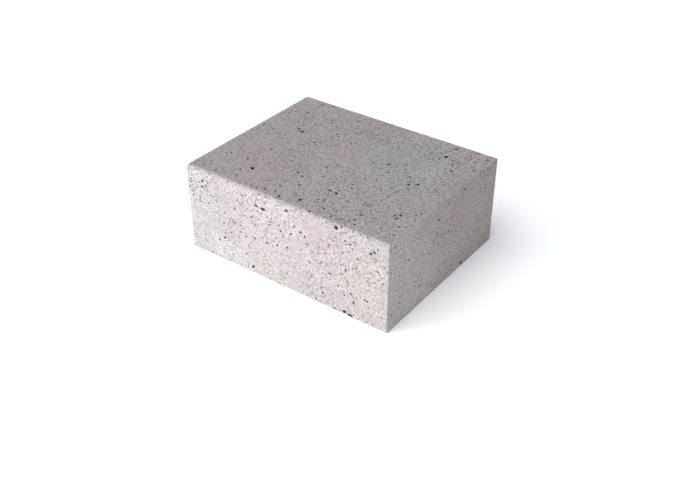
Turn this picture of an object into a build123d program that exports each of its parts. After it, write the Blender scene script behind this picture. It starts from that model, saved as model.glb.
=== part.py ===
"""Stair step block: one solid block of cast concrete that makes one step of an outdoor stair.

The block lies on its bed face. Its front is the riser, its top is the tread, and the long edge
between them is the nosing, which is rounded so that it doesn't chip or catch a foot. Every
other edge is an arris that the mould only breaks with a small round.

Frame: +X runs along the width of the stair, -Y is the front (the riser), +Z is up. The origin
is the centre of the bed face. Sizes are in millimetres.
"""

import os

from build123d import *

# Driving dimensions
block_width = 400.0
tread_depth = 320.0
rise_height = 160.0
nosing_radius = 8.0
arris_radius = 2.0

PARTS_FOLDER = "parts"


def side_section():
    """The block's outline seen from its end: a rectangle with the top front corner rounded."""
    with BuildSketch() as section:
        Rectangle(tread_depth, rise_height, align=(Align.CENTER, Align.MIN))
        front_corners = section.vertices().group_by(Axis.X)[0]
        nosing_corner = front_corners.sort_by(Axis.Y)[-1]
        fillet(nosing_corner, nosing_radius)
    return section.sketch


def step_block():
    """The section drawn out to the block's width, with all edges but the nosing's broken."""
    left_end_plane = Plane.YZ.offset(-block_width / 2)
    with BuildPart() as block:
        with BuildSketch(left_end_plane):
            add(side_section())
        extrude(amount=block_width)
        bed = block.faces().sort_by(Axis.Z)[0]
        back = block.faces().sort_by(Axis.Y)[-1]
        ends = block.faces().filter_by(Axis.X)
        arrises = set(ends.edges()) | set(bed.edges()) | set(back.edges())
        fillet(ShapeList(arrises), arris_radius)
    return block.part


os.makedirs(PARTS_FOLDER, exist_ok=True)
export_step(step_block(), os.path.join(PARTS_FOLDER, "step_block.step"))
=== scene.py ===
"""The look of a stair step block: one solid piece of cast concrete in plain studio light.

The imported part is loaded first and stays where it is. One visual piece stands for it: the same
block with the marks that casting and handling leave on it, which are open air pores, sandy and
smooth patches, knocked arrises and faces that are never quite flat.

Frame: +X is the width of the stair, -Y is the front (the riser) and +Z is up. Blender works in
metres, so a size that is easier to read in millimetres is written as a number times MM.
"""

import logging
import math
import random
from collections.abc import Callable
from dataclasses import dataclass, field
from enum import Enum
from typing import Any

import bpy
import numpy as np
from mathutils import Matrix, Vector, noise


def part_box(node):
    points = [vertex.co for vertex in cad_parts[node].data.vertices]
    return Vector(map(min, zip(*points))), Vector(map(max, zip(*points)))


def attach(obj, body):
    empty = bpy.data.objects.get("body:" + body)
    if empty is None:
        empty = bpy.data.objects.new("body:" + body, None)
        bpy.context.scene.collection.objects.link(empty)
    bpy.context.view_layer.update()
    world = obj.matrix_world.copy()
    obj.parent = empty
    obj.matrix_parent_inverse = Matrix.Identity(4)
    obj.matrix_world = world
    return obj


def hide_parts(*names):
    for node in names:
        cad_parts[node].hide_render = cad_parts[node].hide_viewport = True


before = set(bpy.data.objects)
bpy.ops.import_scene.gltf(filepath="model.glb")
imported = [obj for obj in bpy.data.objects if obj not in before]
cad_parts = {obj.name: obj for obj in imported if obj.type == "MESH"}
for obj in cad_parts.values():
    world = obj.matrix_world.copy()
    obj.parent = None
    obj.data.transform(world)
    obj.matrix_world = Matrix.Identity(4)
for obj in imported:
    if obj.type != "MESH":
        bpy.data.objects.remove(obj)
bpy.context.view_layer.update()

MM = 0.001
TINY = 0.001
AXES = 3
X_AXIS, Y_AXIS, Z_AXIS = range(AXES)
NOISE_MIDDLE = 0.5
MIXED_COLOUR = 2
ROUND_INSET = math.sqrt(2) - 1
NODE = "step_block"
BODY = "root"
SEED = 11
LOG = logging.getLogger(NODE)

Colour = tuple[float, float, float, float]
Place = tuple[float, float, float]
Ball = tuple[np.ndarray, np.ndarray]
Layers = tuple[tuple[float, float], ...]
Tree = bpy.types.NodeTree
Socket = bpy.types.NodeSocket


def from_hex(code: str) -> Colour:
    """Turns an sRGB hex colour into the linear colour that Blender works in.

    Args:
        code: Six hex digits, two each for red, green and blue.

    Returns:
        The linear red, green and blue, with an alpha of one.
    """
    whole, toe_end, toe_slope, offset, power = 255, 0.04045, 12.92, 0.055, 2.4

    def to_linear(channel: int) -> float:
        """Turns one channel from its byte into its linear value."""
        value = channel / whole
        return value / toe_slope if value <= toe_end else ((value + offset) / (1 + offset)) ** power

    red, green, blue = (to_linear(channel) for channel in bytes.fromhex(code))
    return red, green, blue, 1.0


def per_metre(size: float) -> float:
    """Gives the texture scale at which one cell of a pattern is as wide as a size in metres."""
    return 1.0 / size


def add_node(
    tree: Tree,
    kind: str,
    settings: dict[str, Any] | None = None,
    inputs: dict[str | int, Any] | None = None,
    output: str | int | None = 0,
) -> Socket | None:
    """Adds one node to a tree, with its settings, its input values and its links.

    Args:
        tree: The node tree that gets the node.
        kind: The node's type, such as ShaderNodeMath.
        settings: The node's own properties, by name.
        inputs: What goes into each input, by name or number: an output to link, or a value.
        output: The name or number of the output that is wanted, or nothing for the last node.

    Returns:
        The wanted output of the new node.
    """
    node = tree.nodes.new(kind)
    for name, value in (settings or {}).items():
        setattr(node, name, value)
    for key, value in (inputs or {}).items():
        if isinstance(value, Socket):
            tree.links.new(value, node.inputs[key])
        else:
            node.inputs[key].default_value = value
    return None if output is None else node.outputs[output]


def calculate(tree: Tree, operation: str, *values: Socket | float) -> Socket:
    """Adds a node that works out one value.

    Args:
        tree: The node tree that gets it.
        operation: What it does, such as MULTIPLY.
        values: What it works on, in the order of its inputs: outputs to link, or numbers.

    Returns:
        The value.
    """
    return add_node(tree, "ShaderNodeMath", {"operation": operation}, dict(enumerate(values)))


def cloudy(tree: Tree, place: Socket, size: float, detail: float, output: str | int = 0) -> Socket:
    """Adds a cloudy pattern.

    Args:
        tree: The node tree that gets it.
        place: The coordinates that it is read with.
        size: The width of its clouds.
        detail: How many finer layers it has.
        output: The name or number of the output that is wanted.

    Returns:
        The pattern.
    """
    inputs = {"Vector": place, "Scale": per_metre(size), "Detail": detail}
    return add_node(tree, "ShaderNodeTexNoise", None, inputs, output)


def start_material(name: str) -> tuple[bpy.types.Material, Tree]:
    """Makes a material whose node tree is still empty.

    Args:
        name: The material's name.

    Returns:
        The material and its node tree.
    """
    material = bpy.data.materials.new(name)
    material.use_nodes = True
    material.node_tree.nodes.clear()
    return material, material.node_tree


@dataclass(frozen=True)
class Stain:
    """A soft patch on the block: its middle and its radius in millimetres, and how much it adds."""

    middle: Place
    radius: float
    strength: float

    def share(self, point: Vector) -> float:
        """Gives what the stain adds at a point, which is most in its middle and nought at its rim."""
        return self.strength * max(0.0, 1.0 - (point / MM - Vector(self.middle)).length / self.radius)


# Where the paste is greyer (below nought) or pinker than its own drift makes it.
GREY_AND_PINK = (
    Stain((-200, -160, 80), 170, -0.35), Stain((-60, -160, 110), 90, 0.1), Stain((90, -160, 105), 110, 0.4),
    Stain((0, -160, 80), 260, -0.09), Stain((-60, -160, 135), 50, 0.1), Stain((140, -160, 20), 110, 0.2),
    Stain((110, 50, 160), 170, -0.85), Stain((-120, 28, 160), 45, -0.45), Stain((-95, -110, 190), 120, 0.6),
    Stain((-20, 26, 160), 45, 0.4), Stain((-28, 48, 160), 26, 0.35), Stain((-120, -100, 160), 34, 0.35),
    Stain((-156, 128, 160), 30, 0.2), Stain((-170, 60, 160), 90, 0.15), Stain((60, 150, 160), 90, -0.3),
    Stain((150, 140, 160), 70, 0.2), Stain((120, -130, 190), 90, -0.15), Stain((200, 26, 130), 62, 0.8),
    Stain((200, 0, 80), 220, 0.1), Stain((200, -100, 30), 90, -0.3), Stain((200, -110, 120), 100, 0.2),
    Stain((200, 90, 70), 150, 0.75), Stain((200, -30, 110), 80, 0.35), Stain((60, 160, 90), 120, 0.5),
    Stain((-120, 160, 60), 110, -0.6), Stain((-200, 60, 100), 90, 0.5), Stain((80, -40, 0), 130, -0.5),
    Stain((-140, -160, 138), 32, 0.3), Stain((-172, -160, 44), 36, 0.3), Stain((-85, -160, 92), 46, 0.25),
    Stain((-85, -160, 36), 44, 0.25), Stain((-34, -160, 90), 34, -0.35), Stain((55, -160, 20), 36, -0.45),
    Stain((115, -160, 20), 32, -0.4), Stain((185, -160, 148), 38, -0.35), Stain((185, -160, 90), 70, 0.2),
    Stain((153, -160, 142), 26, 0.3), Stain((200, 22, 32), 34, 0.5), Stain((200, 80, 34), 28, 0.4),
    Stain((200, 138, 60), 28, 0.6), Stain((190, -10, 160), 90, -0.22), Stain((-90, 110, 160), 110, -0.14),
    Stain((-110, -30, 160), 80, -0.1), Stain((180, -160, 10), 70, -0.1), Stain((-25, -160, 135), 30, 0.12),
)
# Where lime and damp have left an olive cast.
OLIVE = (
    Stain((-32, -160, 15), 38, 0.95), Stain((200, -20, 12), 46, 0.4), Stain((200, -110, 14), 36, 0.4),
    Stain((200, -90, 60), 150, 0.35), Stain((200, 110, 80), 130, 0.4), Stain((200, 0, 80), 200, 0.14),
    Stain((90, 160, 30), 40, 0.7), Stain((-200, -40, 20), 36, 0.6), Stain((-110, -160, 120), 120, 0.12),
    Stain((-34, -160, 88), 34, 0.25), Stain((200, 140, 24), 28, 0.4),
)
# Where the paste is a little bluer, as it is where the mould's release oil pooled.
LILAC = (
    Stain((-24, -130, 172), 44, 0.8), Stain((-110, -105, 195), 120, 0.35), Stain((20, -80, 180), 90, 0.15),
    Stain((-120, 60, 160), 120, 0.15), Stain((110, 160, 120), 60, 0.4), Stain((-196, -160, 152), 34, 0.3),
    Stain((200, 60, -8), 34, 0.5), Stain((200, 130, -8), 34, 0.6), Stain((200, -60, -6), 28, 0.4),
)
# Where iron in the sand has rusted and made the paste rosier.
ROSY = (
    Stain((200, 10, 120), 66, 0.36), Stain((200, 58, 126), 44, 0.12), Stain((200, 140, 62), 34, 0.3),
    Stain((200, 70, 30), 40, 0.1), Stain((-115, -125, 165), 60, 0.1), Stain((-110, 160, 120), 60, 0.4),
    Stain((-200, -90, 60), 50, 0.4),
)
# Where the sand is barer, or the paste's skin smoother (below nought), than usual.
BARE_AND_SMOOTH = (
    Stain((-185, -160, 125), 75, 0.6), Stain((-140, -160, 130), 50, 0.35), Stain((-120, -160, 85), 45, 0.4),
    Stain((-30, -160, 130), 75, 0.35), Stain((-110, -160, 25), 50, 0.3), Stain((72, -160, 135), 42, -0.45),
    Stain((30, -160, 95), 40, -0.35), Stain((22, -160, 25), 42, -0.3), Stain((-170, -160, 75), 48, -0.4),
    Stain((-85, -160, 50), 32, -0.25), Stain((-165, -160, 25), 40, -0.25), Stain((165, -160, 120), 62, 0.2),
    Stain((85, -160, 60), 45, 0.05), Stain((130, -160, 25), 50, 0.1), Stain((-120, 30, 160), 110, 0.1),
    Stain((-100, -80, 160), 80, 0.1), Stain((0, 0, 160), 260, 0.06), Stain((95, -110, 160), 120, 0.45),
    Stain((150, 120, 160), 80, 0.7), Stain((120, 30, 160), 80, 0.4), Stain((-60, -140, 160), 60, 0.1),
    Stain((-100, 100, 160), 130, 0.3), Stain((60, 100, 160), 80, 0.2), Stain((200, -120, 80), 90, 0.15),
    Stain((200, 90, 80), 150, -0.25), Stain((200, -40, 80), 90, 0.05), Stain((-90, 160, 100), 90, -0.4),
    Stain((110, 160, 70), 80, 0.3), Stain((-200, 0, 60), 80, -0.3),
)
# Where the concrete is lighter or darker: partly where it dried so, and partly painted light that carries on
# the lamps' fall across the faces, such as the right end painted lighter at its front and darker at its back.
TONE_AND_PAINTED_LIGHT = (
    Stain((-190, -160, 50), 90, -0.02), Stain((-190, -160, 120), 75, -0.02),
    Stain((-115, -160, 12), 75, 0.1), Stain((-10, -160, 110), 110, 0.07), Stain((110, -160, 60), 100, 0.04),
    Stain((72, -160, 130), 50, -0.09), Stain((90, -160, 12), 110, -0.05),
    Stain((-75, -160, 105), 50, -0.04), Stain((180, -160, 130), 80, 0.05),
    Stain((-150, -140, 160), 110, 0.05), Stain((30, 0, 160), 90, 0.03), Stain((-20, 110, 160), 100, -0.04),
    Stain((-20, 45, 160), 50, -0.04), Stain((70, 85, 160), 50, -0.04), Stain((0, 160, 160), 110, -0.01),
    Stain((130, 30, 160), 110, 0.06), Stain((200, -100, 60), 120, 0.07), Stain((200, 60, 150), 80, -0.06),
    Stain((200, -50, 15), 90, 0.09), Stain((200, -90, 85), 70, 0.05), Stain((200, 10, 145), 120, -0.05),
    Stain((200, 130, 10), 110, -0.02), Stain((60, -130, 160), 140, 0.03), Stain((-70, -150, 160), 90, 0.02),
)


@dataclass(frozen=True)
class Specks:
    """Round spots darker than their surroundings, of mixed size and tone: pinholes, whose dark is painted
    shade in the hole, or dark grains of sand.
    """

    spacing: float
    radius: float
    left_out: float
    darkness: float
    depth: float
    palest: float = 0.25
    core: float = 0.0

    def build(self, tree: Tree, place: Socket) -> tuple[Socket, Socket]:
        """Draws the spots in a material.

        Args:
            tree: The material's node tree.
            place: The coordinates that the spots are spread over.

        Returns:
            How far each point is in a spot, and how much light that takes away.
        """
        distance = add_node(
            tree, "ShaderNodeTexVoronoi", None,
            {"Vector": place, "Scale": per_metre(self.spacing), "Randomness": 1.0}, "Distance",
        )
        chance = add_node(tree, "ShaderNodeSeparateColor", None, {"Color": distance.node.outputs["Color"]})
        radius = add_node(
            tree, "ShaderNodeMapRange", None,
            {"Value": chance, "From Min": self.left_out, "From Max": 1.0,
             "To Min": TINY, "To Max": self.radius / self.spacing},
        )
        core = calculate(tree, "MULTIPLY", radius, self.core)
        inside = add_node(
            tree, "ShaderNodeMapRange", {"interpolation_type": "SMOOTHSTEP"},
            {"Value": distance, "From Min": core, "From Max": radius, "To Min": 1.0, "To Max": 0.0},
        )
        tone = add_node(
            tree, "ShaderNodeMapRange", None,
            {"Value": chance.node.outputs[1], "To Min": self.darkness * self.palest, "To Max": self.darkness},
        )
        return inside, calculate(tree, "MULTIPLY", inside, tone)


@dataclass(frozen=True)
class CastConcrete:
    """Grey concrete as it comes out of a smooth mould, a little pink from its sand.

    Cement paste skins over against the mould, so parts of a face are smooth and even. Elsewhere
    the paste has run off and the sand shows through, which gives the eye a fine salt and
    pepper grain with pinholes. It is matt all over, and no two hand-sized areas have quite the
    same tint. The sand is 0.5 to 2 mm, and it is drawn at 2.6 to 5 mm so that it can be seen from
    where the photograph was taken.
    """

    grey_paste: str = "BBB8B9"
    pink_paste: str = "C4B7B9"
    olive_paste: str = "BCB9B2"
    lilac_paste: str = "BEB7C0"
    rosy_paste: str = "CCB4B7"
    roughness: float = 0.9
    refraction: float = 1.5
    tint_size: float = 70 * MM
    cloud_size: float = 38 * MM
    mottle_size: float = 9 * MM
    ragged_size: float = 22 * MM
    raggedness: float = 26 * MM
    cloud_strength: float = 0.23
    mottle_strength: float = 0.31
    tint_detail: float = 3.0
    cloud_detail: float = 2.0
    sand_detail: float = 1.0
    coarse_sand: float = 5.0 * MM
    fine_sand: float = 2.6 * MM
    coarse_strength: float = 0.85
    fine_strength: float = 1.78
    palest_grain: float = 0.17
    grain_softness: float = 0.15
    usual_bareness: float = 0.72
    bare_size: float = 30 * MM
    bare_swing: float = 1.3
    least_bare: float = 0.12
    most_bare: float = 1.4
    grain_height: float = 0.16 * MM
    # The pinholes are darkened with painted shade for their tiny holes; the dark grains are the sand's own
    # colour.
    pinholes: Specks = Specks(3.4 * MM, 1.5 * MM, 0.2, 0.95, 0.5 * MM, 0.25, 0.2)
    dark_grains: Specks = Specks(5.0 * MM, 2.3 * MM, 0.4, 0.9, 0.3 * MM, 0.3, 0.3)

    def material(self) -> bpy.types.Material:
        """Builds the node material, with every pattern read in object coordinates.

        Returns:
            The finished material.
        """
        material, tree = start_material("cast_concrete")
        place = add_node(tree, "ShaderNodeTexCoord", None, None, "Object")
        ragged = self.ragged(tree, place)
        bareness = self.bareness(tree, place, ragged)
        grain = self.grain(tree, place, bareness)
        tone = calculate(tree, "ADD", grain, self.cloud(tree, place, ragged))
        height = calculate(tree, "MULTIPLY", grain, self.grain_height)
        for specks in (self.pinholes, self.dark_grains):
            inside, taken = specks.build(tree, place)
            shown = calculate(tree, "MULTIPLY", taken, bareness)
            left = calculate(tree, "SUBTRACT", 1.0, shown)
            tone = calculate(tree, "MULTIPLY", tone, left)
            height = calculate(tree, "MULTIPLY_ADD", inside, -specks.depth, height)
        colour = add_node(
            tree, "ShaderNodeVectorMath", {"operation": "SCALE"},
            {0: self.paste(tree, place, ragged), "Scale": tone},
        )
        bump = add_node(tree, "ShaderNodeBump", None, {"Strength": 1.0, "Distance": 1.0, "Height": height})
        shader = add_node(
            tree, "ShaderNodeBsdfPrincipled", None,
            {"Base Color": colour, "Roughness": self.roughness, "IOR": self.refraction, "Normal": bump},
        )
        add_node(tree, "ShaderNodeOutputMaterial", None, {"Surface": shader}, None)
        return material

    def ragged(self, tree: Tree, place: Socket) -> Socket:
        """Shifts the coordinates about, so that the stains read with them have ragged rims.

        Args:
            tree: The material's node tree.
            place: The coordinates.

        Returns:
            The shifted coordinates.
        """
        shift = cloudy(tree, place, self.ragged_size, self.cloud_detail, "Color")
        middle = (NOISE_MIDDLE,) * AXES
        centred = add_node(tree, "ShaderNodeVectorMath", {"operation": "SUBTRACT"}, {0: shift, 1: middle})
        reach = (2 * self.raggedness,) * AXES
        return add_node(
            tree, "ShaderNodeVectorMath", {"operation": "MULTIPLY_ADD"}, {0: centred, 1: reach, 2: place}
        )

    def stained(self, tree: Tree, ragged: Socket, stains: tuple[Stain, ...], base: Socket | float) -> Socket:
        """Adds stains to a pattern.

        Args:
            tree: The material's node tree.
            ragged: The coordinates that the stains are read with.
            stains: The stains.
            base: The pattern or the number that they are added to.

        Returns:
            The pattern with its stains.
        """
        total = base
        for stain in stains:
            away = add_node(
                tree, "ShaderNodeVectorMath", {"operation": "DISTANCE"},
                {0: ragged, 1: Vector(stain.middle) * MM}, "Value",
            )
            share = add_node(
                tree, "ShaderNodeMapRange", {"interpolation_type": "SMOOTHSTEP"},
                {"Value": away, "From Min": 0.0, "From Max": stain.radius * MM,
                 "To Min": stain.strength, "To Max": 0.0},
            )
            total = calculate(tree, "ADD", total, share)
        return total

    def bareness(self, tree: Tree, place: Socket, ragged: Socket) -> Socket:
        """Says where the sand is bare and where the paste's skin hides it.

        Args:
            tree: The material's node tree.
            place: The coordinates of the pattern.
            ragged: The coordinates of the stains.

        Returns:
            A share that is low on smooth skin and high where the sand is bare.
        """
        cloud = cloudy(tree, place, self.bare_size, self.cloud_detail)
        least = self.usual_bareness - NOISE_MIDDLE * self.bare_swing
        swing = calculate(tree, "MULTIPLY_ADD", cloud, self.bare_swing, least)
        total = self.stained(tree, ragged, BARE_AND_SMOOTH, swing)
        limits = {"Value": total, "Min": self.least_bare, "Max": self.most_bare}
        return add_node(tree, "ShaderNodeClamp", None, limits)

    def grain(self, tree: Tree, place: Socket, bareness: Socket) -> Socket:
        """Draws the light and dark sand in a coarse and a fine layer.

        Args:
            tree: The material's node tree.
            place: The coordinates of the pattern.
            bareness: Where the sand shows.

        Returns:
            What the grains add to the paste's brightness, about nought.
        """
        sands = ((self.coarse_sand, self.coarse_strength), (self.fine_sand, self.fine_strength))
        total = self.layers(tree, place, sands, self.sand_detail, 0.0)
        shown = calculate(tree, "MULTIPLY", total, bareness)
        return calculate(tree, "SMOOTH_MIN", shown, self.palest_grain, self.grain_softness)

    def paste(self, tree: Tree, place: Socket, ragged: Socket) -> Socket:
        """Lets the paste drift between its greyer and its pinker tint, with stains of three other tints.

        Args:
            tree: The material's node tree.
            place: The coordinates of the pattern.
            ragged: The coordinates of the stains.

        Returns:
            The paste's colour.
        """
        drift = cloudy(tree, place, self.tint_size, self.tint_detail)
        pinkness = self.stained(tree, ragged, GREY_AND_PINK, drift)
        colour = add_node(
            tree, "ShaderNodeMix", {"data_type": "RGBA"},
            {"Factor": pinkness, "A": from_hex(self.grey_paste), "B": from_hex(self.pink_paste)},
            MIXED_COLOUR,
        )
        tints = ((OLIVE, self.olive_paste), (LILAC, self.lilac_paste), (ROSY, self.rosy_paste))
        for stains, code in tints:
            share = self.stained(tree, ragged, stains, 0.0)
            colour = add_node(
                tree, "ShaderNodeMix", {"data_type": "RGBA"},
                {"Factor": share, "A": colour, "B": from_hex(code)}, MIXED_COLOUR,
            )
        return colour

    def cloud(self, tree: Tree, place: Socket, ragged: Socket) -> Socket:
        """Adds the slow changes of brightness that an uneven mix and mould oil leave, and the listed lighter
        and darker patches, which are partly painted light.

        Args:
            tree: The material's node tree.
            place: The coordinates of the pattern.
            ragged: The coordinates of the stains.

        Returns:
            A factor close to one.
        """
        clouds = ((self.cloud_size, self.cloud_strength), (self.mottle_size, self.mottle_strength))
        total = self.layers(tree, place, clouds, self.cloud_detail, 1.0)
        return self.stained(tree, ragged, TONE_AND_PAINTED_LIGHT, total)

    def layers(self, tree: Tree, place: Socket, sizes: Layers, detail: float, middle: float) -> Socket:
        """Adds up cloudy patterns of several sizes.

        Args:
            tree: The material's node tree.
            place: The coordinates of the patterns.
            sizes: The width of each one's clouds and how strong it is.
            detail: How many finer layers each has.
            middle: What they come to on average.

        Returns:
            The sum.
        """
        total: Socket | float = middle - NOISE_MIDDLE * sum(strength for _, strength in sizes)
        for size, strength in sizes:
            total = calculate(tree, "MULTIPLY_ADD", cloudy(tree, place, size, detail), strength, total)
        return total


@dataclass(frozen=True)
class ShadedPoreWall:
    """The inside of an open air pore: cement paste that never touched the mould, lined with painted shade.

    A deep pore is painted nearly black for the shade deep inside it. A half-depth one is half as deep and
    painted dark grey, and a shallow one is painted mid grey, for the lesser shade in them.
    """

    name: str
    colour: str
    roughness: float = 0.95
    refraction: float = 1.5

    def material(self) -> bpy.types.Material:
        """Builds the node material.

        Returns:
            The finished material.
        """
        material, tree = start_material(self.name)
        shader = add_node(
            tree, "ShaderNodeBsdfPrincipled", None,
            {"Base Color": from_hex(self.colour), "Roughness": self.roughness, "IOR": self.refraction},
        )
        add_node(tree, "ShaderNodeOutputMaterial", None, {"Surface": shader}, None)
        return material


# Linings of painted shade for the pores, darkest for the deepest; they stand in for the shade inside them.
PORE_SHADES = (
    ShadedPoreWall("deep_pore_shade", "413A38"), ShadedPoreWall("half_depth_pore_shade", "6D6563"), ShadedPoreWall("shallow_pore_shade", "857D7C"),
)


class Side(Enum):
    """The block's six faces and the slope of its nosing."""

    FRONT = "front"
    TOP = "top"
    RIGHT = "right"
    LEFT = "left"
    BACK = "back"
    BED = "bed"
    NOSING = "nosing"


@dataclass(frozen=True)
class FaceFrame:
    """Where one face lies: a corner, the two directions along its sides, and its size."""

    corner: Vector
    along: Vector
    up: Vector
    length: float
    height: float

    @property
    def outward(self) -> Vector:
        """The direction that the face looks in."""
        return self.along.cross(self.up)

    def point(self, across: float, rise: float) -> Vector:
        """Gives the point on the face at these distances from its corner."""
        return self.corner + self.along * across + self.up * rise


class Wall(Enum):
    """How deep a cut is and so the painted shade that lines it, or plain concrete for a chip, by its place in
    the cutters' list of finishes.
    """

    DEEP = 0
    DUSTY = 1
    SHALLOW = 2
    CONCRETE = 3


class Roundness(Enum):
    """How round a ball is, by how many times its icosphere is subdivided."""

    ROUGH = 1
    FAIR = 2
    SMOOTH = 3


@dataclass(frozen=True)
class Pore:
    """An open air pore seen in the photograph, in millimetres from its face's lower left corner."""

    across: float
    rise: float
    length: float
    width: float
    tilt: float = 0.0
    wall: Wall = Wall.DEEP


DEEP, DUSTY, SHALLOW = Wall.DEEP, Wall.DUSTY, Wall.SHALLOW
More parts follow.
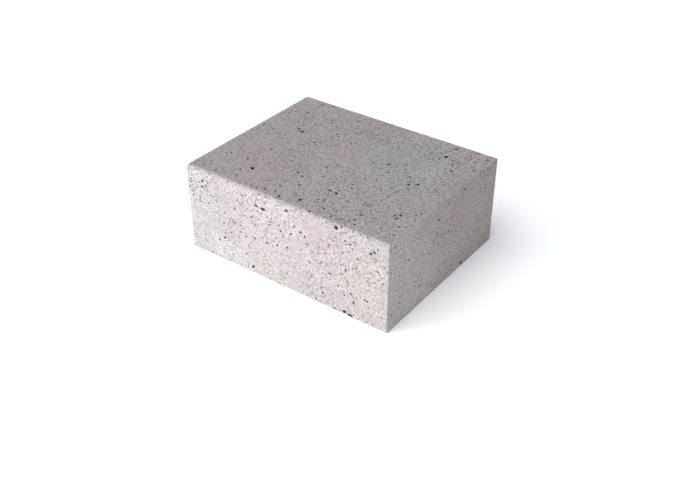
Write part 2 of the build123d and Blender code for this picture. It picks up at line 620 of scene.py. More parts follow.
# Read off the photograph against a grid, in half millimetres. The clear ones are good to about 1 mm.
NOTED_PORES: dict[Side, tuple[Pore, ...]] = {
    Side.FRONT: (
        Pore(35, 141, 5, 3.5), Pore(34, 130, 5, 3), Pore(42, 135.5, 4, 3, 20, DUSTY),
        Pore(9, 130.5, 4, 3, 20, DUSTY), Pore(11.5, 107, 4, 3, 20, DUSTY), Pore(121, 144, 4, 3, 0, DUSTY),
        Pore(149.5, 136, 7, 3.5, -10), Pore(163.5, 134.5, 9.5, 4.5, -5), Pore(151.5, 126, 4, 3.5, 0, DUSTY),
        Pore(154, 148, 4, 2, 35, DUSTY), Pore(167, 147, 3, 2.5, 0, SHALLOW), Pore(138, 110.5, 4.5, 3),
        Pore(138, 103.5, 3, 2, 90, DUSTY), Pore(124, 108, 3, 2.5, 0, DUSTY),
        Pore(103, 113, 3.5, 2.5, 20, DUSTY), Pore(174.5, 109.5, 5.5, 3.5, 15, SHALLOW),
        Pore(197.5, 107.5, 4.5, 2.5, 15), Pore(102, 86, 6, 2.5, 0, DUSTY),
        Pore(113.5, 85, 3.5, 2.5, 0, DUSTY), Pore(79.5, 96, 3, 2.5, 60, DUSTY),
        Pore(145.5, 99, 3, 2.5, 20, DUSTY), Pore(76, 75.5, 5, 4, 0, SHALLOW),
        Pore(142.5, 72, 4, 3, 60, DUSTY), Pore(123, 67, 4, 3, 30, DUSTY),
        Pore(168, 72.5, 7, 4, 20, SHALLOW), Pore(160.5, 80, 3, 2.5, 0, SHALLOW),
        Pore(189.5, 77.5, 4, 2.5, 40), Pore(193, 86, 3, 2, 15, DUSTY), Pore(90.5, 72, 3, 2.5, 20, DUSTY),
        Pore(91, 63, 3, 2.5, 30, DUSTY), Pore(78, 57.5, 3.5, 3, 30, DUSTY), Pore(75.5, 46.5, 4.5, 3.5, 15),
        Pore(63.5, 38, 5, 4, 30, DUSTY), Pore(31.5, 36.5, 4, 2.5, 30, DUSTY),
        Pore(122, 33.5, 5.5, 3.5, 45, SHALLOW), Pore(135.5, 12.5, 5.5, 4, 35), Pore(43, 4, 4, 3, 0, DUSTY),
        Pore(83, 5, 3.5, 2.5, 30, DUSTY), Pore(193, 2, 3, 2, 20, DUSTY), Pore(210.5, 149.5, 6.5, 3, 20),
        Pore(225, 126, 4.5, 3.5, 60, DUSTY), Pore(237.5, 120.5, 4.5, 3.5, -20), Pore(245.5, 116, 4, 3, 45),
        Pore(218.5, 110, 4.5, 2.5, 30), Pore(248, 103.5, 3.5, 2.5, 45, DUSTY),
        Pore(237, 88, 5.5, 2, 20, SHALLOW), Pore(210, 81.5, 4.5, 3.5, 0, DUSTY),
        Pore(270.5, 95, 4.5, 3, 0, SHALLOW), Pore(285, 101.5, 3.5, 3, 0, SHALLOW),
        Pore(277, 81, 4.5, 3, 0, SHALLOW), Pore(267.5, 81.5, 3, 2.5, 0, SHALLOW),
        Pore(254.5, 72, 5.5, 3.5, 15, SHALLOW), Pore(292, 119, 4, 3, 20, DUSTY),
        Pore(317, 115, 3.5, 2.5, 45, DUSTY), Pore(305, 155, 6.5, 5, -35), Pore(324, 153, 3, 2.5, 0, DUSTY),
        Pore(322, 138.5, 4, 2.5, 0, DUSTY), Pore(323, 132.5, 3, 2.5, 0, DUSTY),
        Pore(331.5, 136, 4, 3, 0, DUSTY), Pore(335, 129.5, 3, 2, 40, DUSTY),
        Pore(338.5, 144.5, 3, 2, 20, SHALLOW), Pore(345, 116, 6, 3.5, -15, SHALLOW),
        Pore(368, 134.5, 5, 3.5, 25), Pore(374.5, 139, 4, 3, 25), Pore(380.5, 145.5, 3.5, 2.5, 30, DUSTY),
        Pore(398.5, 114.5, 3.5, 2.5, 20, DUSTY), Pore(381, 107.5, 3.5, 3, 10, DUSTY),
        Pore(383, 93.5, 3, 2, 0, DUSTY), Pore(389, 99.5, 3, 2, 20, DUSTY),
        Pore(342.5, 97, 3.5, 3, 30, DUSTY), Pore(336.5, 95.5, 3, 2.5, 45, DUSTY), Pore(323, 85.5, 4, 3),
        Pore(316, 76, 5, 2.5, 20, SHALLOW), Pore(375.5, 85.5, 4, 2.5, 20, SHALLOW),
        Pore(362.5, 83.5, 3, 2, 0, SHALLOW), Pore(293, 66.5, 5.5, 2.5, 20, DUSTY),
        Pore(285.5, 62, 4.5, 2.5, 25, SHALLOW), Pore(293, 56, 3.5, 2.5, 20, SHALLOW),
        Pore(328.5, 61.5, 3.5, 2.5, 0, SHALLOW), Pore(337.5, 62, 3.5, 2.5, 0, SHALLOW),
        Pore(365.5, 65.5, 3, 2.5, 0, SHALLOW), Pore(257.5, 46, 3, 2.5),
        Pore(309.5, 50.5, 3, 2.5, 20, DUSTY), Pore(333.5, 45.5, 4, 3.5, 30, DUSTY),
        Pore(358.5, 46, 4, 2, 10), Pore(363.5, 45, 3.5, 3), Pore(320.5, 38, 3.5, 3, 70, DUSTY),
        Pore(338, 31.5, 6, 3.5, -80, DUSTY), Pore(278, 33.5, 3, 2.5, 20, DUSTY),
        Pore(206.5, 30, 3, 3, 60, DUSTY), Pore(279, 23.5, 5, 2, 20), Pore(281, 18, 3, 2, 20, SHALLOW),
        Pore(390.5, 26, 4, 3, 0, SHALLOW), Pore(320.5, 6, 6.5, 5, 20), Pore(331.5, 3, 9.5, 4.5),
        Pore(265, 6, 3.5, 3, 80, DUSTY), Pore(302, 4, 3.5, 3, 20, DUSTY),
        Pore(377, 123.5, 3, 2, 20, SHALLOW), Pore(393, 120, 3, 2.5, 20, SHALLOW),
        Pore(300.5, 130.5, 3, 2, 20, DUSTY),
    ),
    Side.NOSING: (
        Pore(90, 3.5, 4.5, 2.5, 30, DUSTY), Pore(169, 4, 3, 2, 0, DUSTY),
        Pore(228.5, 3.5, 3, 2.5, 0, DUSTY), Pore(334, 4.5, 3, 2, 20, DUSTY),
        Pore(348, 5.5, 3, 2.5, -30, DUSTY), Pore(360.5, 5, 3.5, 2.5, -30, DUSTY),
        Pore(313.5, 6, 4, 3, -40, DUSTY), Pore(294, 7, 4, 3, -40, DUSTY), Pore(5.5, 7, 4, 2.5, -40, DUSTY),
    ),
    Side.TOP: (
        Pore(47, 307.5, 6, 3, -60, DUSTY), Pore(65, 312.5, 4, 2.5, -50), Pore(138, 289.5, 6, 3, -60, DUSTY),
        Pore(44, 266.5, 5, 3.5, -50, DUSTY), Pore(328.5, 305, 5.5, 4.5), Pore(328.5, 272, 6.5, 5.5, -60),
        Pore(323.5, 261, 4.5, 3.5, -60, DUSTY), Pore(388, 261, 5, 3, -30, DUSTY),
        Pore(359.5, 237.5, 5, 3.5, -45), Pore(71, 206.5, 8.5, 3.5, -25), Pore(81.5, 202.5, 6.5, 5),
        Pore(136, 229, 4.5, 3, -40), Pore(142.5, 225, 4, 2.5, -40), Pore(181.5, 222, 4, 3, -60, DUSTY),
        Pore(53, 228, 5, 3.5, -50, DUSTY), Pore(266.5, 195.5, 8, 4, 15, DUSTY), Pore(339.5, 169.5, 5, 4),
        Pore(327, 161.5, 5, 4), Pore(11, 182.5, 5, 4, -40, SHALLOW), Pore(38.5, 163, 5, 2, -20),
        Pore(65, 176, 5, 3.5, -40, SHALLOW), Pore(79.5, 122, 5.5, 4, -40, DUSTY),
        Pore(191.5, 127.5, 4.5, 3, -40, DUSTY), Pore(108.5, 141, 5, 3.5, -30, SHALLOW),
        Pore(125, 127, 3.5, 3, -50, DUSTY), Pore(156, 92.5, 3, 2.5, -30, DUSTY), Pore(164, 88, 5.5, 3, -35),
        Pore(177, 82, 5, 3.5, -45, DUSTY), Pore(204.5, 101, 4, 3, 0, DUSTY),
        Pore(238.5, 73.5, 9, 4, -5, DUSTY), Pore(252, 72.5, 6.5, 4.5, -20),
        Pore(190.5, 58.5, 7, 5, -20, SHALLOW), Pore(96.5, 54.5, 8.5, 5.5, -40),
        Pore(81.5, 42.5, 3.5, 3, -40), Pore(33.5, 73.5, 4, 2.5), Pore(28, 68.5, 3.5, 2.5, -45, DUSTY),
        Pore(70.5, 73, 3.5, 3, -50, DUSTY), Pore(58, 91.5, 3.5, 3, -45, DUSTY), Pore(367.5, 78, 5, 4),
        Pore(360, 72.5, 4, 3), Pore(367, 67, 4, 3), Pore(385.5, 92, 3, 2),
        Pore(319.5, 44.5, 7, 5.5, 0, SHALLOW), Pore(318.5, 28.5, 5, 3, -50, DUSTY), Pore(326.5, 17.5, 4, 3),
        Pore(249, 46, 6, 2.5, -55, DUSTY), Pore(240, 41, 3.5, 2.5, -40, DUSTY),
        Pore(219, 24.5, 6.5, 4, -45), Pore(263, 26.5, 6, 2.5), Pore(167, 39.5, 5.5, 3, -45, DUSTY),
        Pore(172, 22, 3.5, 2.5, -50, DUSTY), Pore(186.5, 13, 7, 4.5, -50, DUSTY), Pore(52, 16, 4.5, 3, -50),
        Pore(91.5, 20.5, 6, 4, -45, SHALLOW), Pore(154, 17.5, 5, 3.5, -45, DUSTY),
        Pore(142.5, 11.5, 4, 2.5, -50, DUSTY), Pore(325.5, 133, 4.5, 3, 0, DUSTY),
        Pore(250.5, 7.5, 4.5, 3, -30), Pore(388, 28, 4.5, 3, -55, DUSTY),
        Pore(282.5, 32, 4.5, 2.5, -55, DUSTY), Pore(285.5, 14.5, 3.5, 3, 0, DUSTY),
        Pore(281, 64, 3.5, 3, 0, DUSTY), Pore(133, 112, 4, 2.5, -50, DUSTY),
        Pore(257, 109, 3.5, 2.5, 0, DUSTY), Pore(300.5, 18, 4, 3, -60, DUSTY),
        Pore(312.5, 52, 3.5, 2.5, 0, DUSTY), Pore(350, 256, 4.5, 3.5, 0, DUSTY),
        Pore(322.5, 112, 4, 2.5, -50, DUSTY), Pore(251, 82, 3.5, 2.5, -20, DUSTY),
        Pore(263, 97.5, 3.5, 2.5, -45, DUSTY), Pore(390, 102, 3.5, 2.5, -40, DUSTY),
        Pore(382, 51, 4, 3, -40, DUSTY), Pore(363, 32, 4, 3, -15, DUSTY),
        Pore(366, 314, 4.5, 3.5, 0, DUSTY), Pore(228, 98, 4, 3, -40, DUSTY), Pore(26, 34, 4, 3, 0, DUSTY),
        Pore(392.5, 77.5, 3.5, 2.5, -50, DUSTY), Pore(278.5, 143, 4, 3, -50, DUSTY),
        Pore(382, 16.5, 3.5, 3, -30, DUSTY), Pore(260.5, 136, 4, 3, -80, DUSTY),
        Pore(301, 122, 3.5, 2.5, -40, DUSTY), Pore(312, 135.5, 4, 2.5, -55, DUSTY),
        Pore(287.5, 124, 3.5, 2.5, -45, DUSTY), Pore(391, 56, 3, 2.5, -70, DUSTY),
        Pore(332, 151, 3, 2.5, -50, DUSTY), Pore(154, 104.5, 3.5, 3, -20, DUSTY),
        Pore(194.5, 267.5, 4, 3.5, 0, DUSTY), Pore(83, 238, 5, 3, -50, DUSTY),
        Pore(123.5, 184, 4, 3.5, 0, DUSTY), Pore(223, 258, 4, 3, 0, DUSTY),
        Pore(243, 274, 4, 3, -30, DUSTY), Pore(149, 267.5, 4, 3, -30, DUSTY),
        Pore(243.5, 186, 4, 3, 20, DUSTY), Pore(24, 256, 4, 3, -50, DUSTY), Pore(17, 246, 4, 3.5, 0, DUSTY),
        Pore(174.5, 218.5, 4, 3, -45, DUSTY), Pore(369.5, 172, 4, 3, 0, DUSTY),
        Pore(316.5, 182, 5, 3, -50, DUSTY), Pore(359, 205, 4, 3, 0, DUSTY),
        Pore(280.5, 173.5, 4.5, 3, -50, DUSTY), Pore(160, 254.5, 4.5, 3, -45, DUSTY),
        Pore(98, 268, 4, 3, -45, DUSTY), Pore(376, 284.5, 4.5, 3, -45, DUSTY),
        Pore(388, 302, 4.5, 3, -50, DUSTY),
    ),
    Side.RIGHT: (
        Pore(14.5, 150.5, 4.5, 3, -25, DUSTY), Pore(55, 106, 6.5, 3.5, -30, SHALLOW),
        Pore(137, 135, 8.5, 3, -10, DUSTY), Pore(178, 119.5, 8, 3, -35, SHALLOW),
        Pore(163, 150, 5.5, 4, -30, SHALLOW), Pore(210.5, 153.5, 5, 3.5, -30, DUSTY),
        Pore(219.5, 6.5, 7, 5.5, -70), Pore(32, 39, 4.5, 2.5, -35, DUSTY),
        Pore(34.5, 49.5, 4.5, 3, -35, SHALLOW), Pore(75, 141.5, 5, 3.5, -20, SHALLOW),
        Pore(76, 131, 4, 3, -30, SHALLOW), Pore(28.5, 92.5, 4, 3, -30, SHALLOW),
        Pore(239, 45.5, 6.5, 3, -25, SHALLOW), Pore(283.5, 126.5, 5.5, 3, -30, SHALLOW),
        Pore(267.5, 121.5, 4, 3, -30, SHALLOW), Pore(135, 111.5, 4.5, 3, -25, SHALLOW),
        Pore(36, 102.5, 3.5, 3, -30, SHALLOW), Pore(114, 84.5, 5, 3.5, -20, SHALLOW),
        Pore(12, 29, 4, 3, -40, SHALLOW), Pore(30, 127.5, 4, 3, -30, SHALLOW),
        Pore(127, 13, 4, 3, 80, SHALLOW), Pore(95.5, 46.5, 4, 3, -30, SHALLOW),
        Pore(90, 38, 4, 3, -40, SHALLOW), Pore(96, 75, 4, 2.5, -30, SHALLOW),
        Pore(196.5, 81.5, 4, 2.5, -30, SHALLOW), Pore(99, 91, 3.5, 2.5, -50, SHALLOW),
        Pore(307, 135, 4, 3, -40, SHALLOW),
    ),
}


@dataclass(frozen=True)
class Sink:
    """How far a ball goes in: its depth as a share of its half-width, and its lift as one of its depth."""

    least_depth: float
    most_depth: float
    lift: float


SINKS = {DEEP: Sink(0.9, 1.3, -0.25), DUSTY: Sink(0.6, 0.75, 0.15), SHALLOW: Sink(0.5, 0.6, 0.35)}


@dataclass(frozen=True)
class Grade:
    """One grade of scattered pore: its half-widths, its form, how many, and how many of each wall."""

    narrowest: float
    widest: float
    longest: float
    roundness: Roundness
    per_square_metre: float
    deep: float
    half_depth: float
    shallow: float


class PoreGrade(Enum):
    """The grades of scattered pore, from what a finger feels to what the eye only just sees."""

    LARGE = Grade(1.1 * MM, 2.4 * MM, 2.0, Roundness.FAIR, 430, 0.6, 0.3, 0.1)
    COARSE = Grade(1.1 * MM, 1.9 * MM, 1.6, Roundness.FAIR, 820, 0.2, 0.5, 0.3)
    SMALL = Grade(1.1 * MM, 1.6 * MM, 1.4, Roundness.FAIR, 380, 0.1, 0.6, 0.3)
    FINE = Grade(0.65 * MM, 1.15 * MM, 1.6, Roundness.ROUGH, 5400, 0.4, 0.3, 0.3)


@dataclass
class Forms:
    """Rough balls that the pores and chips are copied from, in three grades of roundness."""

    kinds: int = 6
    unevenness: float = 0.28
    made: dict[Roundness, list[Ball]] = field(default_factory=dict)

    def build(self) -> None:
        """Models each ball as an icosphere whose corners are pushed in and out by chance."""
        for roundness in Roundness:
            self.made[roundness] = [self.rough_ball(roundness, kind) for kind in range(self.kinds)]

    def rough_ball(self, roundness: Roundness, kind: int) -> Ball:
        """Models one rough ball of about unit radius.

        Args:
            roundness: How round it is.
            kind: Which of the different balls it is, used as the seed.

        Returns:
            The corners and the triangles of the ball.
        """
        bpy.ops.mesh.primitive_ico_sphere_add(subdivisions=roundness.value, radius=1.0)
        ball = bpy.context.object
        bpy.ops.object.mode_set(mode="EDIT")
        bpy.ops.transform.vertex_random(offset=self.unevenness, uniform=0.0, normal=1.0, seed=kind)
        bpy.ops.object.mode_set(mode="OBJECT")
        corners = np.array([vertex.co for vertex in ball.data.vertices])
        faces = np.array([face.vertices for face in ball.data.polygons])
        mesh = ball.data
        bpy.data.objects.remove(ball)
        bpy.data.meshes.remove(mesh)
        return corners, faces


@dataclass
class Cutters:
    """A joined mesh of rough balls, each squashed, turned and set in its place."""

    forms: Forms
    draw: random.Random
    spacing: float = 1.3
    placed: list[tuple[Vector, float]] = field(default_factory=list)
    corners: list[np.ndarray] = field(default_factory=list)
    triangles: list[np.ndarray] = field(default_factory=list)
    walls: list[int] = field(default_factory=list)
    count: int = 0

    def is_clear(self, place: Vector, radius: float) -> bool:
        """Says whether a ball at a place would stay clear of all that are there."""
        return all((place - other).length > (radius + taken) * self.spacing for other, taken in self.placed)

    def add(
        self, middle: Vector, axes: tuple[Vector, Vector, Vector], roundness: Roundness, wall: Wall
    ) -> None:
        """Adds one rough ball.

        Args:
            middle: Its middle.
            axes: Its three half-axes.
            roundness: How round it is.
            wall: The painted shade, or plain concrete, that lines the cut that it makes.
        """
        corners, triangles = self.forms.made[roundness][self.draw.randrange(self.forms.kinds)]
        self.corners.append(corners @ np.array(axes) + np.array(middle))
        self.triangles.append(triangles + self.count)
        self.walls += [wall.value] * len(triangles)
        self.count += len(corners)
        self.placed.append((middle, axes[0].length))

    def join(self, finishes: list[bpy.types.Material]) -> bpy.types.Object:
        """Joins the balls into one object.

        Args:
            finishes: The linings of the cuts, painted shade for the pores and plain concrete for the chips,
                in the order that Wall gives.

        Returns:
            The cutters.
        """
        mesh = bpy.data.meshes.new("cutters")
        mesh.from_pydata(np.concatenate(self.corners).tolist(), [], np.concatenate(self.triangles).tolist())
        for finish in finishes:
            mesh.materials.append(finish)
        mesh.polygons.foreach_set("material_index", self.walls)
        cutters = bpy.data.objects.new("cutters", mesh)
        bpy.context.scene.collection.objects.link(cutters)
        return cutters


@dataclass
class PoreField:
    """The air pores of a cast face.

    The pores that the eye picks out in the photograph are about where it shows them. The smaller
    ones are scattered by chance between them, and all sizes over the hidden faces, thickest where
    the sand shows.
    """

    faces: dict[Side, FaceFrame]
    cutters: Cutters
    edge_margin: float = 3.5 * MM
    widest_margin: float = 1 / 3
    cluster_size: float = 40 * MM
    even_chance: float = 0.5
    tries: int = 24
    hidden_sides: tuple[Side, ...] = (Side.LEFT, Side.BACK, Side.BED)
    seen_sides: tuple[Side, ...] = (Side.FRONT, Side.TOP, Side.RIGHT)
    smooth_sides: tuple[Side, ...] = (Side.RIGHT, Side.LEFT)
    smooth_walls: tuple[float, float, float] = (0.0, 0.25, 0.75)
    round_from: float = 2.6 * MM
    rim: float = 0.35 * MM
    widest_tilt: float = 90.0

    def build(self) -> None:
        """Places the noted pores, then the scattered ones from the largest grade to the finest."""
        for side, pores in NOTED_PORES.items():
            for pore in pores:
                self.add_noted(self.faces[side], pore)
        for grade in (PoreGrade.LARGE, PoreGrade.COARSE):
            for side in self.hidden_sides:
                self.scatter(side, grade.value)
        for side in self.seen_sides:
            self.scatter(side, PoreGrade.SMALL.value)
        for side in Side:
            self.scatter(side, PoreGrade.FINE.value)

    def add_noted(self, face: FaceFrame, pore: Pore) -> None:
        """Adds a pore that the photograph shows.

        Args:
            face: The face that it opens in.
            pore: Its place and size, as the dark spot that it makes. Its mouth reaches past that.
        """
        half_length, half_width = (size * MM / 2 + self.rim for size in (pore.length, pore.width))
        place = face.point(pore.across * MM, pore.rise * MM)
        roundness = Roundness.SMOOTH if half_length > self.round_from else Roundness.FAIR
        self.open_pore(face, place, (half_length, half_width), pore.tilt, roundness, pore.wall)

    def scatter(self, side: Side, grade: Grade) -> None:
        """Scatters pores of one grade over a face.

        Args:
            side: The face that they open in.
            grade: Their size and number.
        """
        face, draw = self.faces[side], self.cutters.draw
        weights = self.smooth_walls if side in self.smooth_sides else (grade.deep, grade.half_depth, grade.shallow)
        for _ in range(round(grade.per_square_metre * face.length * face.height)):
            half_width = draw.triangular(grade.narrowest, grade.widest, grade.narrowest)
            half_length = half_width * draw.triangular(1.0, grade.longest, 1.0)
            place = self.free_place(face, half_length)
            wall = draw.choices((DEEP, DUSTY, SHALLOW), weights)[0]
            if place is not None:
                tilt = draw.uniform(-self.widest_tilt, self.widest_tilt)
                self.open_pore(face, place, (half_length, half_width), tilt, grade.roundness, wall)

    def free_place(self, face: FaceFrame, radius: float) -> Vector | None:
        """Finds a free place on a face, more often where the sand is bare.

        Args:
            face: The face to look on.
            radius: The half-length of what goes there.

        Returns:
            The place, or nothing where the face is full.
        """
        draw, margin = self.cutters.draw, min(self.edge_margin, face.height * self.widest_margin)
        for _ in range(self.tries):
            place = face.point(
                draw.uniform(margin, face.length - margin), draw.uniform(margin, face.height - margin)
            )
            bareness = self.even_chance + noise.noise(place / self.cluster_size)
            bareness += sum(stain.share(place) for stain in BARE_AND_SMOOTH)
            if draw.random() < bareness and self.cutters.is_clear(place, radius):
                return place
        return None

    def open_pore(
        self,
        face: FaceFrame,
        place: Vector,
        halves: tuple[float, float],
        tilt: float,
        roundness: Roundness,
        wall: Wall,
    ) -> None:
        """Sinks a rough ball into a face.

        Args:
            face: The face that it opens in.
            place: The middle of its mouth.
            halves: Its half-length and half-width.
            tilt: The turn of its length from the face's long side, in degrees.
            roundness: How round it is.
            wall: How deep it is, and so how dark a painted shade lines it.
        """
        half_length, half_width = halves
        turn = Matrix.Rotation(math.radians(tilt), AXES, face.outward)
        long_way, short_way = turn @ face.along, turn @ face.up
        sink = SINKS[wall]
        depth = half_width * self.cutters.draw.uniform(sink.least_depth, sink.most_depth)
        axes = (long_way * half_length, short_way * half_width, face.outward * depth)
        self.cutters.add(place + face.outward * depth * sink.lift, axes, roundness, wall)


@dataclass
class Chips:
    """Small chips that handling has knocked out of the block's edges."""

    low: Vector
    high: Vector
    cutters: Cutters
    arris_depth: float
    nosing_depth: float
    per_metre_of_edge: float = 16
    shallowest: float = 0.25 * MM
    deepest: float = 0.85 * MM
    smallest: float = 1.6 * MM
    largest: float = 3.4 * MM
    shortest: float = 0.9
    longest: float = 1.8

    def build(self) -> None:
        """Knocks chips out of each of the twelve edges."""
        for axis in range(AXES):
            for first in (-1, 1):
                for second in (-1, 1):
                    self.chip_edge(axis, first, second)

    def chip_edge(self, axis: int, first: int, second: int) -> None:
        """Knocks chips out of one edge.

        Args:
            axis: The axis that the edge runs along.
            first: The side that it is on along the next axis, -1 or 1.
            second: The side that it is on along the axis after that, -1 or 1.
        """
        draw = self.cutters.draw
        along, sides = Vector(), Vector()
        along[axis] = 1.0
        sides[(axis + 1) % AXES], sides[(axis + 2) % AXES] = first, second
        outward = sides.normalized()
        half = (self.high - self.low) / 2
        corner = (self.low + self.high) / 2 + half * sides
        is_nosing = axis == X_AXIS and outward.y < 0 < outward.z
        surface = corner - outward * (self.nosing_depth if is_nosing else self.arris_depth)
        reach = half[axis] - 2 * self.largest
        for _ in range(round(2 * half[axis] * self.per_metre_of_edge)):
            radius = draw.uniform(self.smallest, self.largest)
            bite = draw.triangular(self.shallowest, self.deepest, self.shallowest)
            half_length = radius * draw.uniform(self.shortest, self.longest)
            place = surface + along * draw.uniform(-reach, reach) + outward * (radius - bite)
            if self.cutters.is_clear(place, half_length):
                axes = (along * half_length, along.cross(outward) * radius, outward * radius)
                self.cutters.add(place, axes, Roundness.FAIR, Wall.CONCRETE)


@dataclass
class StepBlock:
    """The block itself: a box of cast concrete with a rounded nosing and worn arrises."""

    low: Vector
    high: Vector
    nosing_radius: float = 8 * MM
    nosing_steps: int = 8
    arris_radius: float = 2 * MM
    arris_steps: int = 3
    cell: float = 5 * MM
    tolerance: float = 0.01 * MM
    unevenness: float = 0.12 * MM
    unevenness_size: float = 30 * MM
    wear: float = 0.5 * MM
    wear_size: float = 6 * MM
    crease_angle: float = math.radians(35)

    @property
    def faces(self) -> dict[Side, FaceFrame]:
        """The faces.

        Returns:
            Where each face lies, with its corner at the lower left as seen from outside.
        """
        (left, front, bottom), (right, back, top) = self.low, self.high
        width, depth, height = self.high - self.low
        x_way, y_way, z_way = Vector((1, 0, 0)), Vector((0, 1, 0)), Vector((0, 0, 1))
        slope = (y_way + z_way).normalized()
        inset = self.nosing_radius * (1 - slope.y)
        nosing = Vector((left, front + inset, top - inset)) - slope * self.nosing_radius / 2
        return {
            Side.FRONT: FaceFrame(Vector((left, front, bottom)), x_way, z_way, width, height),
            Side.TOP: FaceFrame(Vector((left, front, top)), x_way, y_way, width, depth),
            Side.RIGHT: FaceFrame(Vector((right, front, bottom)), y_way, z_way, depth, height),
            Side.LEFT: FaceFrame(Vector((left, back, bottom)), -y_way, z_way, depth, height),
            Side.BACK: FaceFrame(Vector((right, back, bottom)), -x_way, z_way, width, height),
            Side.BED: FaceFrame(Vector((left, back, bottom)), x_way, -y_way, width, depth),
            Side.NOSING: FaceFrame(nosing, x_way, slope, width, self.nosing_radius),
        }

    @property
    def arris_depth(self) -> float:
        """How far a rounded arris lies inside the sharp corner that it replaces."""
        return self.arris_radius * ROUND_INSET

    @property
    def nosing_depth(self) -> float:
        """How far the nosing lies inside the sharp corner that it replaces."""
        return self.nosing_radius * ROUND_INSET

    def build(self, cutters: bpy.types.Object, finish: bpy.types.Material) -> bpy.types.Object:
        """Makes the block: rounds its edges, roughens it and opens its pores.

        Args:
            cutters: What the pores and chips are cut with.
            finish: The finish of its cast faces.

        Returns:
            The finished piece.
        """
        block = self.blank()
        block.data.materials.append(finish)
        self.divide(block)
        self.roughen(block)
        self.cut(block, cutters)
        self.shade(block)
        return block

    def blank(self) -> bpy.types.Object:
        """Models the block with its nosing and arrises rounded.

        Returns:
            The plain block.
        """
        bpy.ops.object.select_all(action="DESELECT")
        middle, size = (self.low + self.high) / 2, self.high - self.low
        bpy.ops.mesh.primitive_cube_add(size=1, location=middle, scale=size)
        block = bpy.context.object
        block.name = "cast_step_block"
        bpy.ops.object.transform_apply(location=True, rotation=True, scale=True)
        self.bevel(block, self.is_nosing, self.nosing_radius, self.nosing_steps)
        self.bevel(block, self.is_arris, self.arris_radius, self.arris_steps)
        return block

    def near(self, first: float, second: float) -> bool:
        """Says whether two places along an axis are the same."""
        return abs(first - second) < self.tolerance

    def is_nosing(self, start: Vector, end: Vector) -> bool:
        """Says whether an edge is the top front edge."""
        ends = (start, end)
        return all(self.near(point.y, self.low.y) and self.near(point.z, self.high.z) for point in ends)

    def is_arris(self, start: Vector, end: Vector) -> bool:
        """Says whether an edge bounds an end, the bed or the back."""
        ends = ((X_AXIS, self.low.x), (X_AXIS, self.high.x))
        planes = (*ends, (Y_AXIS, self.high.y), (Z_AXIS, self.low.z))
        return any(self.near(start[axis], place) and self.near(end[axis], place) for axis, place in planes)

    def bevel(
        self, block: bpy.types.Object, wanted: Callable[[Vector, Vector], bool], radius: float, steps: int
    ) -> None:
        """Rounds the edges that pass a test.

        Args:
            block: The block.
            wanted: Says of an edge's two ends whether it is rounded.
            radius: The radius of the round.
            steps: How many faces the round has.
        """
        bpy.ops.object.mode_set(mode="EDIT")
        bpy.ops.mesh.select_mode(type="EDGE")
        bpy.ops.mesh.select_all(action="DESELECT")
        bpy.ops.object.mode_set(mode="OBJECT")
        for edge in block.data.edges:
            start, end = (block.data.vertices[index].co for index in edge.vertices)
            edge.select = wanted(start, end)
        bpy.ops.object.mode_set(mode="EDIT")
        bpy.ops.mesh.bevel(offset=radius, segments=steps, affect="EDGES")
        bpy.ops.object.mode_set(mode="OBJECT")

    def divide(self, block: bpy.types.Object) -> None:
        """Cuts the flat faces into cells that can be roughened.

        Args:
            block: The block.
        """
        spans = (
            (self.low.x + self.arris_radius, self.high.x - self.arris_radius),
            (self.low.y + self.nosing_radius, self.high.y - self.arris_radius),
            (self.low.z + self.arris_radius, self.high.z - self.nosing_radius),
        )
        bpy.ops.object.mode_set(mode="EDIT")
        for axis, (start, end) in enumerate(spans):
            pieces = round((end - start) / self.cell)
            for step in range(pieces + 1):
                place, way = Vector(), Vector()
                place[axis] = start + (end - start) * step / pieces
                way[axis] = 1.0
                bpy.ops.mesh.select_all(action="SELECT")
                bpy.ops.mesh.bisect(plane_co=place, plane_no=way)
        bpy.ops.object.mode_set(mode="OBJECT")

    def edge_share(self, point: Vector) -> float:
        """Says how close a point is to an edge of the block: one on a rounded edge, nought inside a face."""
        gaps = (min(point[axis] - self.low[axis], self.high[axis] - point[axis]) for axis in range(AXES))
        return max(0.0, 1.0 - sorted(gaps)[1] / (self.cell + self.arris_radius))

    def roughen(self, block: bpy.types.Object) -> None:
        """Pushes the surface in a little, so that no face is quite flat and no edge quite straight.

        Args:
            block: The block.
        """
        edges = block.vertex_groups.new(name="edges")
        for vertex in block.data.vertices:
            edges.add([vertex.index], self.edge_share(vertex.co), "REPLACE")
        self.displace(block, "unevenness", self.unevenness, self.unevenness_size, "")
        self.displace(block, "wear", self.wear, self.wear_size, "edges")
        block.vertex_groups.clear()

    def displace(
        self, block: bpy.types.Object, name: str, depth: float, size: float, group: str
    ) -> None:
        """Pushes the surface in by a cloudy pattern.

        Args:
            block: The block.
            name: The name of the pattern.
            depth: How far the deepest places go in.
            size: The width of the pattern's lumps.
            group: The vertex group that limits it, or nothing.
        """
        texture = bpy.data.textures.new(name, "CLOUDS")
        texture.noise_scale = size
        push = block.modifiers.new(name, "DISPLACE")
        push.texture = texture
        push.texture_coords = "LOCAL"
        push.strength = depth
        push.mid_level = 1.0
        push.vertex_group = group
        bpy.context.view_layer.objects.active = block
        bpy.ops.object.modifier_apply(modifier=push.name)
        bpy.data.textures.remove(texture)

    def cut(self, block: bpy.types.Object, cutters: bpy.types.Object) -> None:
        """Opens the pores, each lined with the painted shade or the plain concrete that its cutter carries.

        Args:
            block: The block.
            cutters: What is cut away.
        """
        taking = block.modifiers.new("pores", "BOOLEAN")
        taking.operation = "DIFFERENCE"
        taking.solver = "MANIFOLD"
        taking.object = cutters
        taking.material_mode = "TRANSFER"
        bpy.context.view_layer.objects.active = block
        bpy.ops.object.modifier_apply(modifier=taking.name)
        mesh = cutters.data
        bpy.data.objects.remove(cutters)
        bpy.data.meshes.remove(mesh)

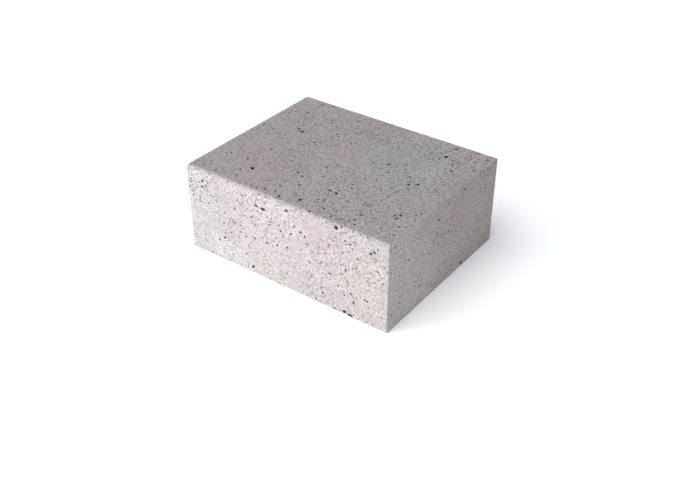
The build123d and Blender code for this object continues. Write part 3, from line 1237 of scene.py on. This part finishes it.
    def shade(self, block: bpy.types.Object) -> None:
        """Shades the rounds smooth and keeps the rims of the pores crisp.

        Args:
            block: The block.
        """
        bpy.ops.object.select_all(action="DESELECT")
        block.select_set(True)
        bpy.context.view_layer.objects.active = block
        bpy.ops.object.shade_smooth_by_angle(angle=self.crease_angle)


@dataclass(frozen=True)
class SoftBox:
    """A rectangular studio lamp that the camera doesn't see."""

    name: str
    place: Place
    width: float
    height: float
    power: float
    colour: str

    def build(self, aim: Vector) -> None:
        """Hangs the lamp and turns it to the block.

        Args:
            aim: The point that it shines at.
        """
        lamp = bpy.data.lights.new(self.name, "AREA")
        lamp.shape = "RECTANGLE"
        lamp.size = self.width
        lamp.size_y = self.height
        lamp.energy = self.power
        lamp.color = from_hex(self.colour)[:-1]
        holder = bpy.data.objects.new(self.name, lamp)
        holder.location = self.place
        holder.rotation_euler = (Vector(self.place) - aim).to_track_quat("Z", "Y").to_euler()
        holder.visible_camera = False
        bpy.context.scene.collection.objects.link(holder)


@dataclass(frozen=True)
class Overhead:
    """A large soft source far overhead, such as a lit ceiling, that casts the soft shadow."""

    name: str
    elevation: float
    azimuth: float
    spread: float
    strength: float
    colour: str

    def build(self) -> None:
        """Makes the lamp shine from its side, where nought is the block's front and 90 its right."""
        lamp = bpy.data.lights.new(self.name, "SUN")
        lamp.angle = math.radians(self.spread)
        lamp.energy = self.strength
        lamp.color = from_hex(self.colour)[:-1]
        holder = bpy.data.objects.new(self.name, lamp)
        tilt = math.pi / 2 - math.radians(self.elevation)
        holder.rotation_euler = (tilt, 0.0, math.radians(self.azimuth))
        bpy.context.scene.collection.objects.link(holder)


@dataclass
class Studio:
    """A pale floor, soft light all round and the camera where the photograph was taken."""

    floor_size: float = 12.0
    floor_colour: str = "EDEDED"
    white: str = "FFFFFF"
    floor_white: Colour = (1.635, 1.645, 1.668, 1.0)
    sky_colour: str = "EBF2FF"
    sky_strength: float = 0.241
    lens: float = 48.394
    camera_place: Place = (0.7840, -1.0644, 0.8989)
    camera_azimuth: float = 36.365
    camera_elevation: float = 34.242
    aim: Place = (0.0, 0.0, 0.08)
    overhead: Overhead = Overhead("overhead", 60.0, -30.0, 60.0, 1.615, "FFFDF7")
    soft_boxes: tuple[SoftBox, ...] = (
        SoftBox("front_box", (-0.90, -1.56, 0.12), 0.40, 0.24, 21.35, "FFFEFD"),
        SoftBox("right_box", (0.90, -0.60, 0.12), 0.30, 0.24, 1.94, "FDFFFA"),
    )

    def build(self) -> None:
        """Sets up the floor, the light and the camera."""
        self.lay_floor()
        self.light_sky()
        self.overhead.build()
        for soft_box in self.soft_boxes:
            soft_box.build(Vector(self.aim))
        self.set_camera()
        bpy.context.scene.view_settings.view_transform = "Standard"

    def shown_rays(self, tree: Tree) -> Socket:
        """Picks out the rays that see the backdrop as it looks, not the ones that are lit by it.

        Args:
            tree: The node tree of the floor or of the world.

        Returns:
            One for a ray of the camera, or one that was mirrored or went through glass, else nought.
        """
        rays = add_node(tree, "ShaderNodeLightPath").node.outputs
        shown: Socket = rays["Is Camera Ray"]
        for kind in ("Is Glossy Ray", "Is Transmission Ray"):
            shown = calculate(tree, "MAXIMUM", shown, rays[kind])
        return shown

    def lay_floor(self) -> None:
        """Lays the floor, which looks like white paper and lights the block as pale grey."""
        bpy.ops.object.select_all(action="DESELECT")
        bpy.ops.mesh.primitive_plane_add(size=self.floor_size)
        floor = bpy.context.object
        floor.name = "studio_floor"
        material, tree = start_material("studio_paper")
        lit = add_node(tree, "ShaderNodeBsdfDiffuse", None, {"Color": from_hex(self.floor_colour)})
        seen = add_node(tree, "ShaderNodeBsdfDiffuse", None, {"Color": self.floor_white})
        mixed = add_node(tree, "ShaderNodeMixShader", None, {0: self.shown_rays(tree), 1: lit, 2: seen})
        add_node(tree, "ShaderNodeOutputMaterial", None, {"Surface": mixed}, None)
        floor.data.materials.append(material)

    def light_sky(self) -> None:
        """Lights the block evenly from all round, behind a background that is plain white."""
        world = bpy.data.worlds.new("studio_air")
        bpy.context.scene.world = world
        world.use_nodes = True
        tree = world.node_tree
        tree.nodes.clear()
        light = add_node(
            tree, "ShaderNodeBackground", None,
            {"Color": from_hex(self.sky_colour), "Strength": self.sky_strength},
        )
        white = add_node(
            tree, "ShaderNodeBackground", None, {"Color": from_hex(self.white), "Strength": 1.0}
        )
        mixed = add_node(tree, "ShaderNodeMixShader", None, {0: self.shown_rays(tree), 1: light, 2: white})
        add_node(tree, "ShaderNodeOutputWorld", None, {"Surface": mixed}, None)

    def set_camera(self) -> None:
        """Stands the camera where the photograph's corners say it stood."""
        eye = bpy.data.cameras.new("photo_camera")
        eye.lens = self.lens
        holder = bpy.data.objects.new("photo_camera", eye)
        holder.location = self.camera_place
        tilt = math.pi / 2 - math.radians(self.camera_elevation)
        holder.rotation_euler = (tilt, 0.0, math.radians(self.camera_azimuth))
        bpy.context.scene.collection.objects.link(holder)
        bpy.context.scene.camera = holder


def main() -> None:
    """Builds the block and the studio in order, and reports each piece."""
    logging.basicConfig(level=logging.INFO, format="%(name)s: %(message)s")
    low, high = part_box(NODE)
    block_maker = StepBlock(low, high)
    forms = Forms()
    forms.build()
    cutters = Cutters(forms, random.Random(SEED))
    PoreField(block_maker.faces, cutters).build()
    pores = len(cutters.placed)
    Chips(low, high, cutters, block_maker.arris_depth, block_maker.nosing_depth).build()
    LOG.info("%d pores and %d chips", pores, len(cutters.placed) - pores)
    concrete = CastConcrete().material()
    # The pores' linings of painted shade, then the plain concrete of the chips.
    finishes = [wall.material() for wall in PORE_SHADES] + [concrete]
    block = block_maker.build(cutters.join(finishes), concrete)
    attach(block, BODY)
    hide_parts(NODE)
    triangles = sum(len(face.vertices) - 2 for face in block.data.polygons)
    LOG.info("%s: %d triangles", block.name, triangles)
    studio = Studio()
    studio.build()
    LOG.info("studio: floor, camera, overhead lamp and %d soft boxes", len(studio.soft_boxes))


if __name__ == "__main__":
    main()
